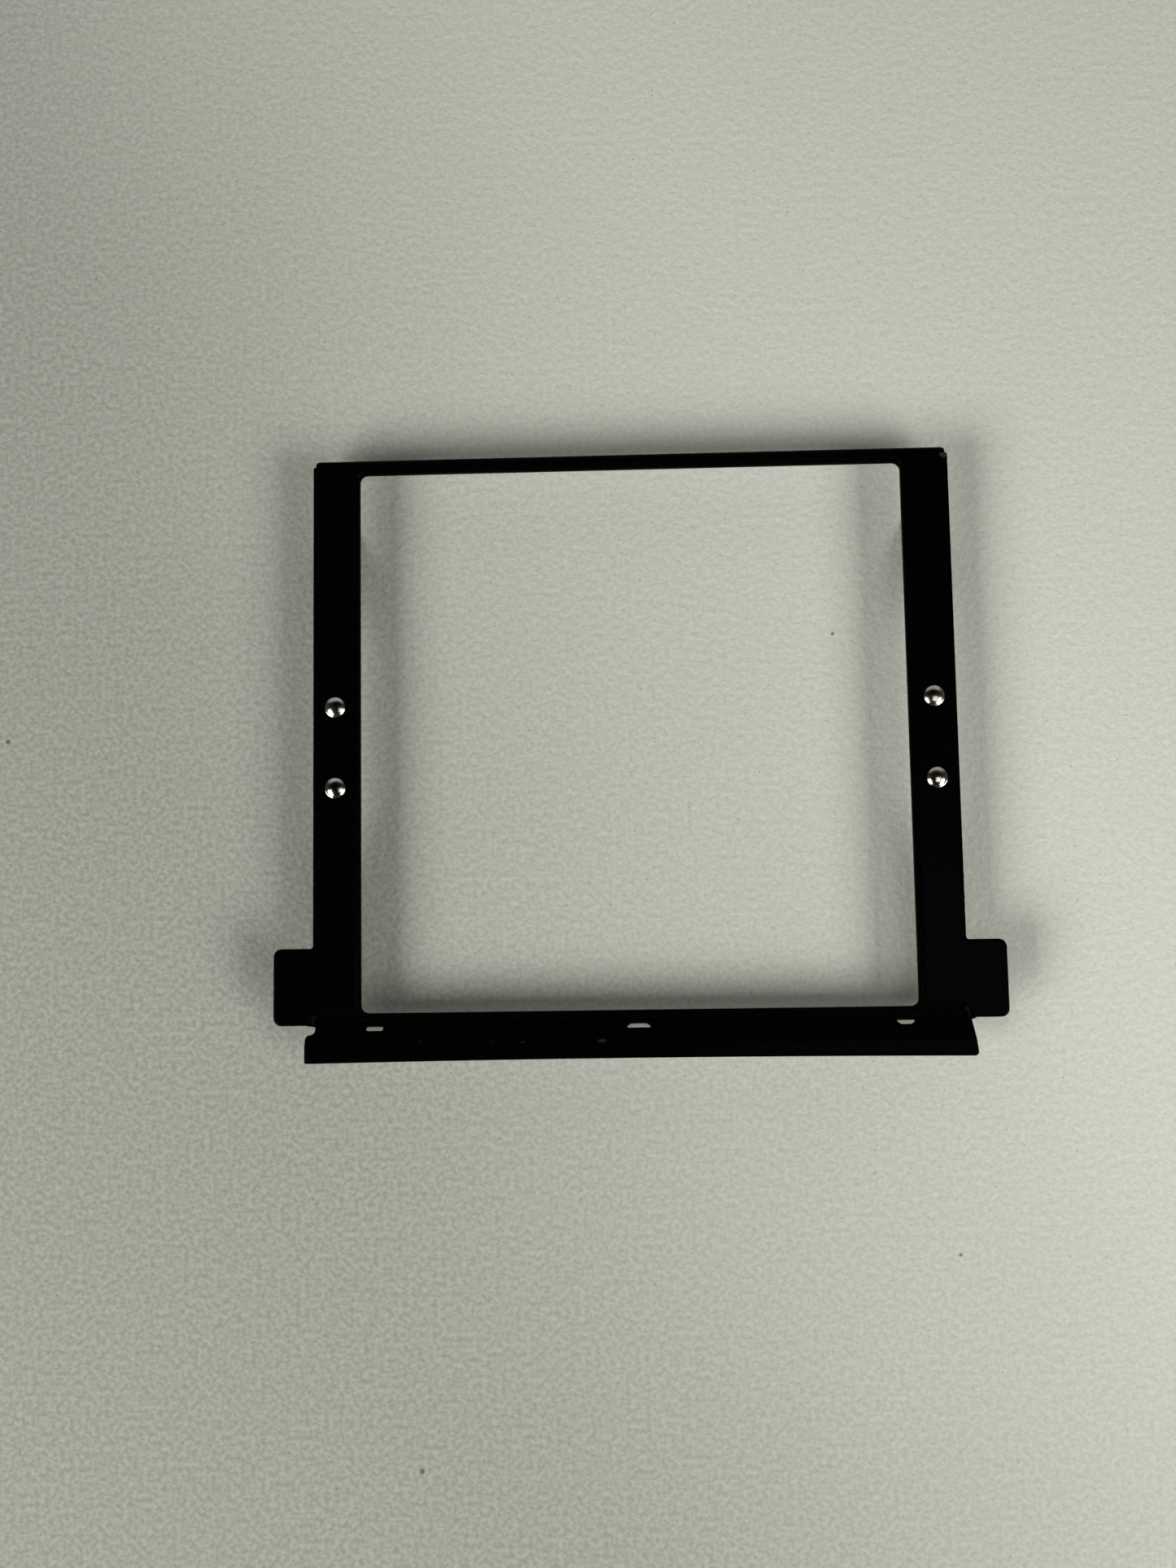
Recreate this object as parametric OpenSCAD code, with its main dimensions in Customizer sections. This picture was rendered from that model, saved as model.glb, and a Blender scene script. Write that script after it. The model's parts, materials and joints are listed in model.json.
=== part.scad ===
// Frame of a medium-format negative carrier: one pressed sheet-steel plate with a square
// film gate, a leaf spring under each side rail, and four round-head rivets that hold them.
// X runs across the frame, Y from the finger lip to the rear and Z up. The origin lies on
// the plane that the springs rest on, under the middle of the whole outline.

/* [Film gate] */
// Clear width of the gate
gate_w = 56; // [54:0.5:57]
// Clear length of the gate, front to rear
gate_l = 55.6; // [54:0.1:55.8]
// Corner radius of the gate
gate_corner_r = 0.8; // [0.5:0.1:1.2]
// How far the collar round the gate is pressed down from the plate's top
collar_depth = 1; // [0.9:0.1:1.4]

/* [Plate] */
// Thickness of the sheet
sheet_t = 0.5; // [0.4:0.05:0.55]
// Width across the side rails
plate_w = 65.6; // [65:0.1:66.4]
// Distance from the gate's middle to the rear edge
rear_reach = 29.3; // [29.2:0.1:30]
// Height of the plate's top above the resting plane
plate_top = 4.2; // [4:0.1:4.6]
// Outer radius of the collar's bend and of the rear flange's bend
bend_r = 0.65; // [0.6:0.05:0.7]
// Depth of the rear flange, from the plate's top
flange_depth = 2.8; // [1:0.1:3]
// Step in from each rail's side to the end of the rear flange
flange_inset = 0.25; // [0.1:0.05:1]

/* [Stop tabs] */
// Width across both stop tabs
tabs_w = 73.6; // [70:0.1:80]
// Length of a tab along the rail
tab_l = 7.7; // [6:0.1:9]
// Distance from the gate's middle to the tabs' front edges
tab_front = 28.9; // [28.5:0.1:29.1]
// Corner radius of a tab
tab_corner_r = 0.8; // [0.3:0.1:1.5]

/* [Finger lip] */
// Distance from the gate's middle to the lip's front edge
lip_reach = 32.7; // [32.4:0.1:33.5]
// Width of the lip
lip_w = 67.4; // [66.8:0.1:68.4]
// Distance from the gate's middle to the shoulders at the lip's ends
shoulder_reach = 29.8; // [29.6:0.1:30]
// How far the middle of the front edge is bowed in
lip_bow = 0.2; // [0.1:0.05:0.4]
// Slope of the ramp down from the plate
ramp_angle = 50; // [40:1:55]
// Slope of the lip up from its groove
lip_angle = 24; // [15:1:26]

/* [Groove slots] */
// Distance from the middle to the outer slots
slot_pitch = 26.7; // [20:0.1:27]
// Length of the outer slots
side_slot_l = 1.75; // [1:0.05:2.3]
// Length of the middle slot
middle_slot_l = 2.3; // [1:0.05:4]
// Width of the slots
slot_w = 0.5; // [0.4:0.05:0.7]

/* [Rivets] */
// Distance from the middle to the rivets of each rail
rivet_x = 30.5; // [30.4:0.05:30.8]
// Distance between the two rivets of a rail
rivet_pitch = 8.3; // [7:0.1:9]
// Distance from the gate's middle forward to the middle of a rail's rivets
rivet_mid = 0.8; // [0:0.1:1.2]
// Diameter of the round head
rivet_head_d = 2.1; // [2:0.1:2.6]
// Height of the round head
rivet_head_h = 0.4; // [0.3:0.02:0.6]
// Diameter of the shank
rivet_shank_d = 1.3; // [1:0.1:1.5]

/* [Leaf springs] */
// Thickness of the spring strip
spring_t = 0.2; // [0.15:0.05:0.3]
// Width of the spring strip
spring_w = 3.2; // [2.6:0.1:3.4]
// Slope of a relaxed spring arm
arm_angle = 12; // [11.5:0.5:14]
// Angle by which an arm's tip turns up from level
tip_angle = 25; // [15:1:28]
// Radius of the arm's tip, at the middle of the strip
tip_r = 2; // [1.5:0.1:2.2]

/* [Hidden] */
$fn = 96;

paint_black = [0.04, 0.04, 0.045];
rivet_nickel = [0.78, 0.77, 0.74];
spring_steel = [0.36, 0.38, 0.42];

// The outline runs from the lip to the rear edge, so the gate's middle lies off the origin.
gate_y = (lip_reach - rear_reach) / 2;
gate_half_w = gate_w / 2;
gate_half_l = gate_l / 2;
plate_half_w = plate_w / 2;
tab_rear = tab_front - tab_l;
flange_w = plate_w - 2 * flange_inset;

// Front section: bend, ramp, groove, rising lip and level edge.
ramp_bend_r = 1.5;
groove_r = 0.3;
crest_r = 1.25;
ramp_start = 26.9;
ramp_run = 0.55;
crest_start = 30.85;
ramp_c = ramp_bend_r - sheet_t / 2;
groove_c = groove_r + sheet_t / 2;
crest_c = crest_r - sheet_t / 2;
groove_end = ramp_start + ramp_c * sin(ramp_angle) + ramp_run * cos(ramp_angle)
    + groove_c * (sin(ramp_angle) + sin(lip_angle));
lip_run = (crest_start - groove_end) / cos(lip_angle);
crest_end = crest_start + crest_c * sin(lip_angle);
front_steps = [
    [0, -ramp_angle, ramp_c],
    [ramp_run, ramp_angle + lip_angle, groove_c],
    [lip_run, -lip_angle, crest_c],
    [lip_reach - crest_end, 0, 0]];
lip_corner_r = 0.4;
notch_w = shoulder_reach - tab_front;
neck_mid = (shoulder_reach + tab_front) / 2;
left_notch_x = 32.75;
right_notch_x = 33.25;
slot_mid = 29.3;

// Springs: a riveted seat in the middle and an arm on a pivot at each of its ends.
seat_half_l = 6.9;
pivot_gap = 0.05;
underside_gap = 0.02;
sheet_under = plate_top - sheet_t;
seat_z = sheet_under - spring_t / 2;
pivot_z = seat_z - underside_gap;
arm_drop = pivot_z - spring_t / 2;
arm_run = (arm_drop - tip_r * (1 - cos(arm_angle))) / sin(arm_angle);
arm_steps = [
    [arm_run, arm_angle + tip_angle, tip_r]];
arm_reach = arm_run * cos(arm_angle) + tip_r * (sin(arm_angle) + sin(tip_angle));
rivet_tail_d = 2;
rivet_tail_h = 0.4;

// Cutting shapes reach this far past what they cut.
clear = 1;
// Flats in each bend of a strip, and in half of the bowed front edge.
bend_parts = 10;
bow_parts = 12;

// Moves a shape from the gate's middle to its place.
module at_gate() {
    translate([0, gate_y, 0]) children();
}

// Draws a shape and its mirror image across the frame.
module both_sides() {
    children();
    mirror([1, 0, 0]) children();
}

// Draws a shape and its mirror image from front to rear.
module both_ends() {
    children();
    mirror([0, 1, 0]) children();
}

// Rectangle about the middle with rounded corners.
module rounded_rect(w, l, r) {
    square([w - 2 * r, l], center = true);
    square([w, l - 2 * r], center = true);
    both_sides() both_ends() translate([w / 2 - r, l / 2 - r]) circle(r);
}

// Stations [x, y, heading] along the middle line of a bent strip. Each step is a straight
// run, then a turn in degrees with its radius; a turn to the left is positive.
function stations(steps, x = 0, y = 0, heading = 0, step = 0) =
    step == len(steps) ? [[x, y, heading]] :
    let (run = steps[step][0],
        turn = steps[step][1],
        swing = sign(turn) * steps[step][2],
        bend_x = x + run * cos(heading),
        bend_y = y + run * sin(heading),
        parts = turn == 0 ? 0 : bend_parts - 1,
        bend = [for (k = [0:parts]) let (a = heading + turn * k / bend_parts)
            [bend_x + swing * (sin(a) - sin(heading)),
            bend_y - swing * (cos(a) - cos(heading)), a]],
        out = heading + turn)
    concat(run > 0 ? [[x, y, heading]] : [], bend,
        stations(steps, bend_x + swing * (sin(out) - sin(heading)),
            bend_y - swing * (cos(out) - cos(heading)), out, step + 1));

// Side view of a bent strip of thickness t, from its stations, with a round start if asked.
module strip_profile(steps, t, round_start = false) {
    line = stations(steps);
    last = len(line) - 1;
    upper = [for (s = line) [s[0] - sin(s[2]) * t / 2, s[1] + cos(s[2]) * t / 2]];
    lower = [for (k = [0:last]) let (s = line[last - k])
        [s[0] + sin(s[2]) * t / 2, s[1] - cos(s[2]) * t / 2]];
    cap = [for (k = [1:bend_parts - 1]) let (a = -90 - 180 * k / bend_parts)
        [cos(a) * t / 2, sin(a) * t / 2]];
    polygon(concat(upper, lower, round_start ? cap : []));
}

// Side view of the collar: a wall with a bend above it. X is the distance outward from the
// gate and Y the height above the plate's top.
module collar_profile() {
    translate([0, -collar_depth]) square([sheet_t, collar_depth - bend_r]);
    translate([bend_r, -bend_r]) mirror([1, 0]) intersection() {
        difference() {
            circle(bend_r);
            circle(bend_r - sheet_t);
        }
        square(bend_r);
    }
}

// Straight length of collar along a side at +X, from y0 to y1.
module collar_side(half_gate, y0, y1) {
    translate([half_gate, y1, 0]) rotate([90, 0, 0]) linear_extrude(y1 - y0) collar_profile();
}

// The collar: sides, rear and rear corners with the bend.
module bent_collar() {
    corner_x = gate_half_w - gate_corner_r;
    corner_y = gate_half_l - gate_corner_r;
    both_sides() collar_side(gate_half_w, -ramp_start, corner_y);
    rotate([0, 0, 90]) collar_side(gate_half_l, -corner_x, corner_x);
    both_sides() translate([corner_x, corner_y, 0])
        rotate_extrude(angle = 90) translate([gate_corner_r, 0]) collar_profile();
}

// The collar's front: a plain wall that stands up into the ramp.
module front_wall() {
    outer_w = gate_w + 2 * sheet_t;
    outer_l = gate_l + 2 * sheet_t;
    difference() {
        translate([0, 0, -collar_depth]) linear_extrude(collar_depth) difference() {
            rounded_rect(outer_w, outer_l, gate_corner_r + sheet_t);
            rounded_rect(gate_w, gate_l, gate_corner_r);
            translate([-outer_w / 2, -ramp_start]) square([outer_w, outer_l]);
        }
        above_ramp();
    }
}

// Everything above the middle surface of the front bend and its ramp.
module above_ramp() {
    line = stations([[0, -ramp_angle, ramp_c], [2 * ramp_c, 0, 0]]);
    far = 2 * ramp_bend_r;
    rotate([90, 0, -90]) translate([0, 0, -plate_half_w]) linear_extrude(plate_w)
        translate([ramp_start, -sheet_t / 2])
            polygon(concat([for (s = line) [s[0], s[1]]], [[far + clear, clear], [0, clear]]));
}

// Flat of the plate: side rails, rear bar and stop tabs, seen from above.
module flat_outline() {
    difference() {
        union() {
            translate([-plate_half_w, -ramp_start])
                square([plate_w, ramp_start + rear_reach - bend_r]);
            translate([0, -(tab_front + tab_rear) / 2])
                rounded_rect(tabs_w, tab_l, tab_corner_r);
        }
        rounded_rect(gate_w + 2 * bend_r, gate_l + 2 * bend_r, gate_corner_r + bend_r);
        translate([-plate_half_w, -tab_front - clear])
            square([plate_w, tab_front + clear - ramp_start]);
    }
}

// The notch between a stop tab and the lip's shoulder, with a round inner end.
module notch(inner_x) {
    translate([inner_x + notch_w / 2, -shoulder_reach + notch_w / 2]) {
        circle(notch_w / 2);
        translate([0, -notch_w / 2]) square([lip_w, notch_w]);
    }
}

// Front section seen from above: as wide as the rails down to the notches, then the lip
// with its bowed front edge and a slant at its right end.
module front_outline() {
    half_w = lip_w / 2;
    front_edge = [for (k = [-bow_parts:bow_parts]) let (u = k / bow_parts)
        [u * (half_w + clear), -lip_reach + lip_bow * (1 - u * u)]];
    difference() {
        union() {
            translate([-plate_half_w, -shoulder_reach - lip_corner_r])
                square([plate_w, shoulder_reach + lip_corner_r - ramp_start]);
            translate([-gate_half_w, -shoulder_reach])
                square([gate_half_w + right_notch_x, notch_w]);
            intersection() {
                translate([0, -shoulder_reach - half_w / 2])
                    rounded_rect(lip_w, half_w, lip_corner_r);
                polygon(concat(front_edge, [[half_w + clear, 0], [-half_w - clear, 0]]));
            }
        }
        mirror([1, 0]) notch(left_notch_x);
        notch(right_notch_x);
        polygon([[right_notch_x, -neck_mid], [half_w, -lip_reach + 2 * lip_corner_r],
            [half_w + clear, -lip_reach], [half_w + clear, -neck_mid]]);
        groove_slots();
        rounded_rect(gate_w, gate_l, gate_corner_r);
    }
}

// The three slots in the groove: a rounded one, a tapered one and one with a round front.
module groove_slots() {
    half_w = slot_w / 2;
    translate([-slot_pitch, -slot_mid]) rounded_rect(side_slot_l, slot_w, slot_w / 3);
    translate([0, -slot_mid]) polygon([
        [-middle_slot_l / 2, -half_w], [middle_slot_l / 2, -half_w],
        [middle_slot_l / 2, 0], [middle_slot_l / 3, half_w],
        [-middle_slot_l / 3, half_w], [-middle_slot_l / 2, 0]]);
    translate([slot_pitch, -slot_mid]) {
        translate([-side_slot_l / 2, 0]) square([side_slot_l, half_w]);
        intersection() {
            translate([-side_slot_l / 2, -half_w]) square([side_slot_l, slot_w]);
            translate([0, half_w * 2]) circle(half_w * 3);
        }
    }
}

// Front section: the bent strip, cut to its outline.
module front_section() {
    intersection() {
        rotate([90, 0, -90]) translate([0, 0, -lip_w / 2]) linear_extrude(lip_w)
            translate([ramp_start, -sheet_t / 2]) strip_profile(front_steps, sheet_t);
        translate([0, 0, -plate_top]) linear_extrude(2 * plate_top) front_outline();
    }
}

// Rear flange: a quarter bend and a short wall.
module rear_flange() {
    flange_c = bend_r - sheet_t / 2;
    rotate([90, 0, 90]) translate([0, 0, -flange_w / 2]) linear_extrude(flange_w)
        translate([rear_reach - bend_r, -sheet_t / 2])
            strip_profile([[0, -90, flange_c], [flange_depth - bend_r, 0, 0]], sheet_t);
}

// The pressed plate, in one piece.
module frame_plate() {
    color(paint_black) at_gate() translate([0, 0, plate_top]) difference() {
        union() {
            translate([0, 0, -sheet_t]) linear_extrude(sheet_t) flat_outline();
            bent_collar();
            front_wall();
            front_section();
            rear_flange();
        }
        both_sides() for (end = [-1, 1])
            translate([rivet_x, end * rivet_pitch / 2 - rivet_mid, -sheet_t - clear])
                cylinder(d = rivet_shank_d, h = sheet_t + 2 * clear);
    }
}

// Places a shape at a rivet: side is -1 for the left rail, end is -1 for the front rivet.
module at_rivet(side, end) {
    at_gate() translate([side * rivet_x, end * rivet_pitch / 2 - rivet_mid, 0]) children();
}

// A rivet: round head on the plate, shank through plate and seat, and a spread tail.
module rivet(side, end) {
    head_ball_r = (pow(rivet_head_d / 2, 2) + pow(rivet_head_h, 2)) / (2 * rivet_head_h);
    tail_ball_r = (pow(rivet_tail_d / 2, 2) + pow(rivet_tail_h, 2)) / (2 * rivet_tail_h);
    tail_top = sheet_under - spring_t;
    color(rivet_nickel) at_rivet(side, end) rotate_extrude() {
        intersection() {
            translate([0, plate_top + rivet_head_h - head_ball_r]) circle(head_ball_r);
            translate([0, plate_top]) square([rivet_head_d, rivet_head_h]);
        }
        translate([0, tail_top]) square([rivet_shank_d / 2, plate_top - tail_top]);
        intersection() {
            translate([0, tail_top - rivet_tail_h + tail_ball_r]) circle(tail_ball_r);
            translate([0, tail_top - rivet_tail_h]) square([rivet_tail_d, rivet_tail_h]);
        }
    }
}

// Middle of a leaf spring, flat under the rail, with its two rivet holes.
module spring_seat(side) {
    seat_l = 2 * (seat_half_l - spring_t / 2 - pivot_gap);
    color(spring_steel) difference() {
        at_gate() translate([side * rivet_x - spring_w / 2, -rivet_mid - seat_l / 2,
            sheet_under - spring_t]) cube([spring_w, seat_l, spring_t]);
        for (end = [-1, 1]) at_rivet(side, end)
            translate([0, 0, sheet_under - spring_t - clear])
                cylinder(d = rivet_shank_d, h = spring_t + clear + sheet_t / 2);
    }
}

// Rear spring arm, drawn from its pivot: it slopes down to the resting plane and turns up
// at a round tip.
module spring_arm() {
    intersection() {
        rotate([90, 0, 90]) translate([0, 0, -spring_w / 2]) linear_extrude(spring_w)
            rotate(-arm_angle) strip_profile(arm_steps, spring_t, round_start = true);
        translate([0, 0, -arm_drop - clear]) linear_extrude(arm_drop + 2 * clear) {
            translate([-spring_w / 2, -spring_t])
                square([spring_w, spring_t + arm_reach - spring_w / 2]);
            translate([0, arm_reach - spring_w / 2]) circle(d = spring_w);
        }
    }
}

// Puts an arm at its pivot: side is -1 for the left rail, end is -1 for the front arm.
module place_arm(side, end) {
    color(spring_steel) at_gate()
        translate([side * rivet_x, end * seat_half_l - rivet_mid, pivot_z])
            mirror([0, end < 0 ? 1 : 0, 0]) spring_arm();
}

frame_plate();
rivet(-1, -1);  // left_front_rivet
rivet(-1, 1);  // left_rear_rivet
rivet(1, -1);  // right_front_rivet
rivet(1, 1);  // right_rear_rivet
spring_seat(-1);  // left_spring_seat
spring_seat(1);  // right_spring_seat
place_arm(-1, -1);  // left_front_spring_arm
place_arm(-1, 1);  // left_rear_spring_arm
place_arm(1, -1);  // right_front_spring_arm
place_arm(1, 1);  // right_rear_spring_arm
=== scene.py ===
"""Looks of the negative carrier frame: a pressed and painted steel plate, four nickel rivets and
two blued leaf springs, on a pale floor under soft studio light."""
import json
import math

import bpy
import numpy as np
from mathutils import Matrix, Vector
from mathutils.geometry import delaunay_2d_cdt
from mathutils.kdtree import KDTree


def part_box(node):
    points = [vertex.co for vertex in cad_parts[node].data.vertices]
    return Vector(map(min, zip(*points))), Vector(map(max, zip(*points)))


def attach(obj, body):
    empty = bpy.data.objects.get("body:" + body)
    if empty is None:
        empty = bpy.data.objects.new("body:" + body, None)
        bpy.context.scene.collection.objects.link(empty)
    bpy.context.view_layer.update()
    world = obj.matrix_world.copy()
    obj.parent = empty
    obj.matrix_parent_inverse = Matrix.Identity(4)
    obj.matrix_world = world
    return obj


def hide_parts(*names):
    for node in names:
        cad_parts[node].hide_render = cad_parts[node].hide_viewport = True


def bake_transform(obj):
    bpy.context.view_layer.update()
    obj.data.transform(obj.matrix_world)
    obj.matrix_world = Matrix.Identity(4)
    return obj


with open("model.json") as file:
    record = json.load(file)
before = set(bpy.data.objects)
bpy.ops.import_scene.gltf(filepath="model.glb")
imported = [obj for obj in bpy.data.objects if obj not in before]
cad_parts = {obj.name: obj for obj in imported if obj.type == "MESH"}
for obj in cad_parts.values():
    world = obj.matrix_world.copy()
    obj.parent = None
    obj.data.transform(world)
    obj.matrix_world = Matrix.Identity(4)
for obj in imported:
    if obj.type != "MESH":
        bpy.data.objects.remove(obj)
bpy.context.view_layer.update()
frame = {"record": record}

# ------------------------------------------------------------ sizes, in millimetres
# Lengths are taken from the gate's middle, with y to the rear and v along the sheet: v is y up
# to the rear bend, and goes on down the rear flange from there.

MM = 0.001
# Signs of a square's corners, anticlockwise.
SQUARE = [(-1, -1), (1, -1), (1, 1), (-1, 1)]

record = frame["record"]
mounts = {m["name"]: m["pos_m"] for m in record["mounts"]}
joints = {j["name"]: j["pos_m"] for j in record["behaviour"]["joints"]}
plate_low, plate_high = [[c / MM for c in corner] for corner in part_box("frame_plate")]

GATE_Y = mounts["collar_rim"][1] / MM
RIM_Z = mounts["collar_rim"][2] / MM
TOP_Z = plate_high[2]
REAR = plate_high[1] - GATE_Y
TAB_X = plate_high[0]
TAB_REAR = mounts["right_stop"][1] / MM - GATE_Y
FLANGE_Z = plate_low[2]
LIP_FRONT = plate_low[1] - GATE_Y
RAIL_MIDDLE = joints["right_rear_flex"][0] / MM
PIVOT_FRONT, PIVOT_REAR = [joints[f"right_{end}_flex"][1] / MM - GATE_Y for end in ("front", "rear")]

# The sheet and its outline; each name with _R is a corner's or a bend's radius. The necks are
# between the tabs and the lip, and the left one is a notch, rounded by that share of its width.
SHEET = 0.5
HALF_SHEET = SHEET / 2
MIDDLE_Z = TOP_Z - HALF_SHEET
GATE_HALF_W, GATE_HALF_L, GATE_R = 28.0, 27.8, 0.8
RAIL_X, RAIL_REAR_R, RAIL_TAB_R = 32.8, 0.15, 0.3
FLANGE_X, FLANGE_R, FLANGE_RELIEF = 32.55, 0.12, 0.1
TAB_FRONT, TAB_R = -28.9, 0.8
LIP_X, LIP_BOW, LIP_BOW_END = 33.7, 0.2, 0.5
LIP_LEFT_R, LIP_RIGHT_R = 0.2, 0.4
SHOULDER, SHOULDER_R = -29.8, 0.45
NECK_LEFT, NECK_RIGHT, NECK_R, NECK_SLANT = -32.75, 33.25, 0.25, (0.05, 0.3)
NOTCH_ROUND = 0.48

# The slots: a rounded one, one that narrows to the rear, and one with a round front. The shares
# are those of the length that the narrow side keeps.
SLOT_X, SLOT_Y, SLOT_W = 26.7, -29.27, 0.46
SIDE_SLOT, MIDDLE_SLOT = 1.75, 2.3
ROUNDED_R = 0.2
TAPERED_R, TAPERED_END_R, TAPERED_SHARE = 0.08, 0.05, 2 / 3
ROUND_FRONT_R, ROUND_END_R, STRAIGHT_REAR_R, ROUND_FRONT_SHARE = 0.3, 0.1, 0.06, 0.55

# Strips are lists of [straight run, turn in degrees, radius] along their middle line.
BEND_R = 0.65
RAMP_START = 26.9
FRONT_STEPS = [[RAMP_START, -50, 1.25], [0.55, 74, 0.55], [2.18, -24, 1.0], [1.45, 0, 0]]
REAR_BEND = REAR - BEND_R
REAR_STEPS = [[REAR_BEND, -90, BEND_R - HALF_SHEET], [TOP_Z - FLANGE_Z - BEND_R, 0, 0]]

# The ramp dies out in a drawn wall next to each tab, which turns outwards at the tab's front.
WALL_X, WALL_W = 33.15, 1.2
WALL_TURN, WALL_TURN_L, WALL_TURN_W = -28.75, 0.5, 1.5

# The collar's bends, and its thin rim with tighter bends at the ramp.
UNDER_BEND_R, RIM_ROUND = 0.15, 0.08
RAMP_RIM_START, RAMP_RIM_REACH, RAMP_RIM_T = RAMP_START + 0.05, 0.8, 0.06
RAMP_BEND_R, RAMP_UNDER_R = 0.2, 0.03

# Die roll [width, depth] of the punched edges; the guard only keeps points off the collar.
EDGE_ROLL, SLOT_ROLL, UNDER_ROLL = [0.42, 0.2], [0.14, 0.1], [0.06, 0.06]
HOLE_ROLL, SPRING_ROLL, GUARD = [0.02, 0.02], [0.06, 0.06], [0.08, 0.0]

# Spacing of the mesh's points: on flats, across bends, along edges, the least one, and the one of
# the columns beside the drawn walls, with the stretch of v that has them. Then a spring's columns.
FLAT_STEP, BEND_STEP, EDGE_STEP, LEAST_STEP = 1.0, 0.08, 0.3, 0.03
WALL_STEP, WALL_ROWS = 0.1, (-29.3, 0.3 - RAMP_START)
SPRING_COLUMNS = np.arange(-1.2, 1.3, 0.4)
# How far past an edge's roll its last ring and the grid stay, and how far rings stay off any edge.
RING_BEYOND, GRID_BEYOND, LEAST_GAP = 0.06, 0.1, 0.01
# Bends from this, in radians per millimetre, get close rows. Corners this flat, in degrees of half
# their inside angle, stay sharp, and each part of an arc turns about this many degrees.
LEAST_BEND, FLAT_CORNER, ARC_TURN = 0.05, 88, 11
# Points across the lip's bow or a spring, round a spring's tip and up a rivet's dome, and rings in
# the collar's outer and inner bend.
ACROSS_COUNT, TIP_COUNT, DOME_COUNT, BEND_COUNT, UNDER_COUNT = 13, 33, 20, 9, 4

# Rivets and springs; a spring half's reaches are from the seat's middle, to a micrometre.
SIDES, ENDS = {"left": -1, "right": 1}, {"front": -1, "rear": 1}
HEAD_R, HEAD_H, SHANK_R = 1.05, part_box("left_rear_rivet")[1][2] / MM - TOP_Z, 0.65
TAIL_R, TAIL_H, TAIL_ROUND = 1.0, 0.4, 0.12
# The head's rim as insets and heights; the tail's dimple as shares of its radius and heights.
HEAD_RIM, DIMPLE = [(0.015, 0.035), (0, 0.012), (0.01, 0)], [(0.55, 0), (0.3, 0.05), (0, 0.07)]
SEAT_Y = round((PIVOT_REAR + PIVOT_FRONT) / 2, 3)
PIVOT_REACH = round((PIVOT_REAR - PIVOT_FRONT) / 2, 3)
SPRING_T, SPRING_W, RIVET_REACH, BEND_REACH = 0.2, 3.2, 4.15, 2.0
SEAT_Z = TOP_Z - SHEET - SPRING_T / 2
ARM_ANGLE, TIP_ANGLE, TIP_R = 12, 25, 2.0
RIVETS = {f"{side}_{end}": (sx * RAIL_MIDDLE, SEAT_Y + sy * RIVET_REACH)
          for side, sx in SIDES.items() for end, sy in ENDS.items()}

# Wear on edges, as amount and reach; a rubbed stretch of the lip's crest; spots of x, v and radius.
EDGE_WEAR, SLOT_WEAR, UNDER_WEAR = (0.8, 0.2), (0.4, 0.12), (0.7, 0.12)
CREST_V, CREST_W, CREST_ENDS, CREST_FADE = -30.9, 0.14, (-27.5, 4.0), 2
BARE_SPOTS = [(24.1, -31.6, 0.16), (11.0, -30.9, 0.3), (24.0, -30.6, 0.35), (32.3, 28.2, 0.4)]
SPOT_WEAR = 2.2

# Half the floor's side, and its flecks: pitch, share of cells without, radius in cells, and darkness.
FLOOR_HALF = 1500
FLECKS = [(11, 0.80, 0.024, 0.7), (1.2, 0.72, 0.09, 0.3)]

# The camera: lens and sensor, place, and turn in degrees.
CAMERA_LENS, CAMERA_SENSOR = 29.89, 36
CAMERA_AT, CAMERA_TURN = (-1.195, -14.203, 135.773), (4.712, 1.603, -0.919)

# Soft lights aimed at the origin: direction, then distance, width and length in metres, and watts.
LIGHTS = {"left_softbox": ((-1.35, -0.92, 1), 0.75, 0.32, 0.50, 5.4),
          "right_softbox": ((1.40, -0.92, 1), 0.75, 0.28, 0.50, 4.5),
          "near_lamp": ((62, -38, 128), 0.147, 0.075, 0.075, 0.029)}


def smooth(t):
    """Smooth step from 0 to 1."""
    t = np.clip(t, 0, 1)
    return t * t * (3 - 2 * t)


# ------------------------------------------------------------ the sheet

def trace(steps, spacing=0.02):
    """A bent strip's distance along, forward reach, height and slope, at close places."""
    rows = [[0.0, 0.0, 0.0, 0.0]]
    for run, turn, radius in steps:
        swing = math.radians(turn)
        for length, bend in ((run, 0.0), (abs(swing) * radius, swing)):
            count = max(1, round(length / spacing)) if length else 0
            for _ in range(count):
                along, reach, height, slope = rows[-1]
                heading = slope + bend / count / 2
                chord = length / count
                rows.append([along + chord, reach + chord * math.cos(heading),
                             height + chord * math.sin(heading), slope + bend / count])
    return np.array(rows).T


FRONT = trace(FRONT_STEPS)
BACK = trace(REAR_STEPS)


def height_field(x, y):
    """Height of the sheet's middle surface, in front of the rear bend."""
    drop = np.interp(-y, FRONT[1], FRONT[2], left=0)
    wall = WALL_X + WALL_TURN_W * smooth((WALL_TURN - y) / WALL_TURN_L)
    return MIDDLE_Z + drop * smooth((wall - np.abs(x)) / WALL_W)


def normals(x, v):
    """Unit normals of the middle surface at flat positions."""
    d = 0.01
    slope_x = (height_field(x + d, v) - height_field(x - d, v)) / (2 * d)
    slope_y = (height_field(x, v + d) - height_field(x, v - d)) / (2 * d)
    front = np.stack([-slope_x, -slope_y, np.ones_like(x)], axis=-1)
    front /= np.linalg.norm(front, axis=-1, keepdims=True)
    tilt = np.interp(v, BACK[0], BACK[3])
    back = np.stack([np.zeros_like(x), -np.sin(tilt), np.cos(tilt)], axis=-1)
    return np.where((v > 0)[..., None], back, front)


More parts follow.
